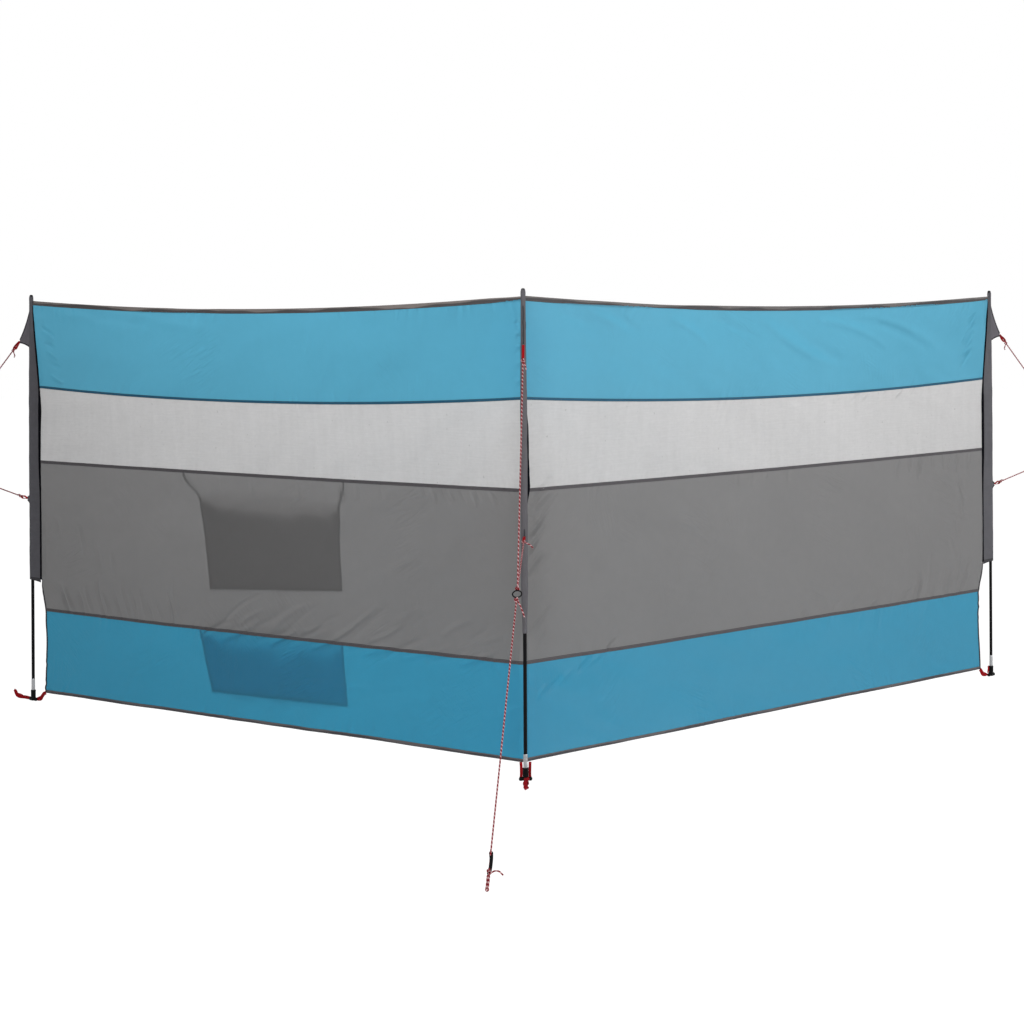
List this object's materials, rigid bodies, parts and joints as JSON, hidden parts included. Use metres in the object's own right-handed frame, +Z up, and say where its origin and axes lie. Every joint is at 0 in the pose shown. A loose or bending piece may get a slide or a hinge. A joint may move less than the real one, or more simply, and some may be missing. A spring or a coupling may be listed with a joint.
{
  "type": "beach windbreak",
  "caption": "Beach windbreak pitched in a V: banded cloth on sleeved poles, with split guy ropes, foot straps and pockets behind one bay.",
  "frame": {"origin": "on the ground, at the centre of the underside of the middle pole's foot", "axes": "+X across the front from the left pole to the right pole, +Y back into the shelter, +Z up"},
  "size_m": [6.3594, 3.8134, 1.52],
  "materials": {
    "top_cloth": "plain weave polyester, coated",
    "window_cloth": "pale translucent ripstop",
    "middle_cloth": "plain weave polyester, coated",
    "bottom_cloth": "plain weave polyester, coated",
    "binding": "folded woven tape",
    "seam_tape": "folded woven tape",
    "sleeve_cloth": "heavy plain weave",
    "red_webbing": "ribbed webbing",
    "guy_cord": "braided cord with pale flecks",
    "pole_rod": "painted fibreglass",
    "pole_metal": "satin",
    "black_plastic": "moulded"
  },
  "bodies": {
    "root": {"left_top_band": "top_cloth", "left_window_band": "window_cloth", "left_middle_band": "middle_cloth", "left_bottom_band": "bottom_cloth", "left_top_binding": "binding", "left_seam_tapes": "seam_tape", "left_hem": "seam_tape", "right_top_band": "top_cloth", "right_window_band": "window_cloth", "right_middle_band": "middle_cloth", "right_bottom_band": "bottom_cloth", "right_top_binding": "binding", "right_seam_tapes": "seam_tape", "right_hem": "seam_tape", "left_sleeve": "sleeve_cloth", "left_gusset": "sleeve_cloth", "left_webbing_loops": "red_webbing", "left_pole": "pole_rod", "left_pole_ferrule": "pole_metal", "left_foot": "black_plastic", "left_foot_strap": "red_webbing", "left_guy_rope": "guy_cord", "left_guy_branch": "guy_cord", "left_guy_ring": "black_plastic", "left_guy_runner": "black_plastic", "middle_sleeve": "sleeve_cloth", "middle_gusset": "sleeve_cloth", "middle_webbing_loops": "red_webbing", "middle_pole": "pole_rod", "middle_pole_ferrule": "pole_metal", "middle_foot": "black_plastic", "middle_foot_strap": "red_webbing", "middle_guy_rope": "guy_cord", "middle_guy_branch": "guy_cord", "middle_guy_ring": "black_plastic", "middle_guy_runner": "black_plastic", "right_sleeve": "sleeve_cloth", "right_gusset": "sleeve_cloth", "right_webbing_loops": "red_webbing", "right_pole": "pole_rod", "right_pole_ferrule": "pole_metal", "right_foot": "black_plastic", "right_foot_strap": "red_webbing", "right_guy_rope": "guy_cord", "right_guy_branch": "guy_cord", "right_guy_ring": "black_plastic", "right_guy_runner": "black_plastic", "upper_pocket": "middle_cloth", "lower_pocket": "bottom_cloth", "pocket_straps": "seam_tape"}
  },
  "joints": []
}
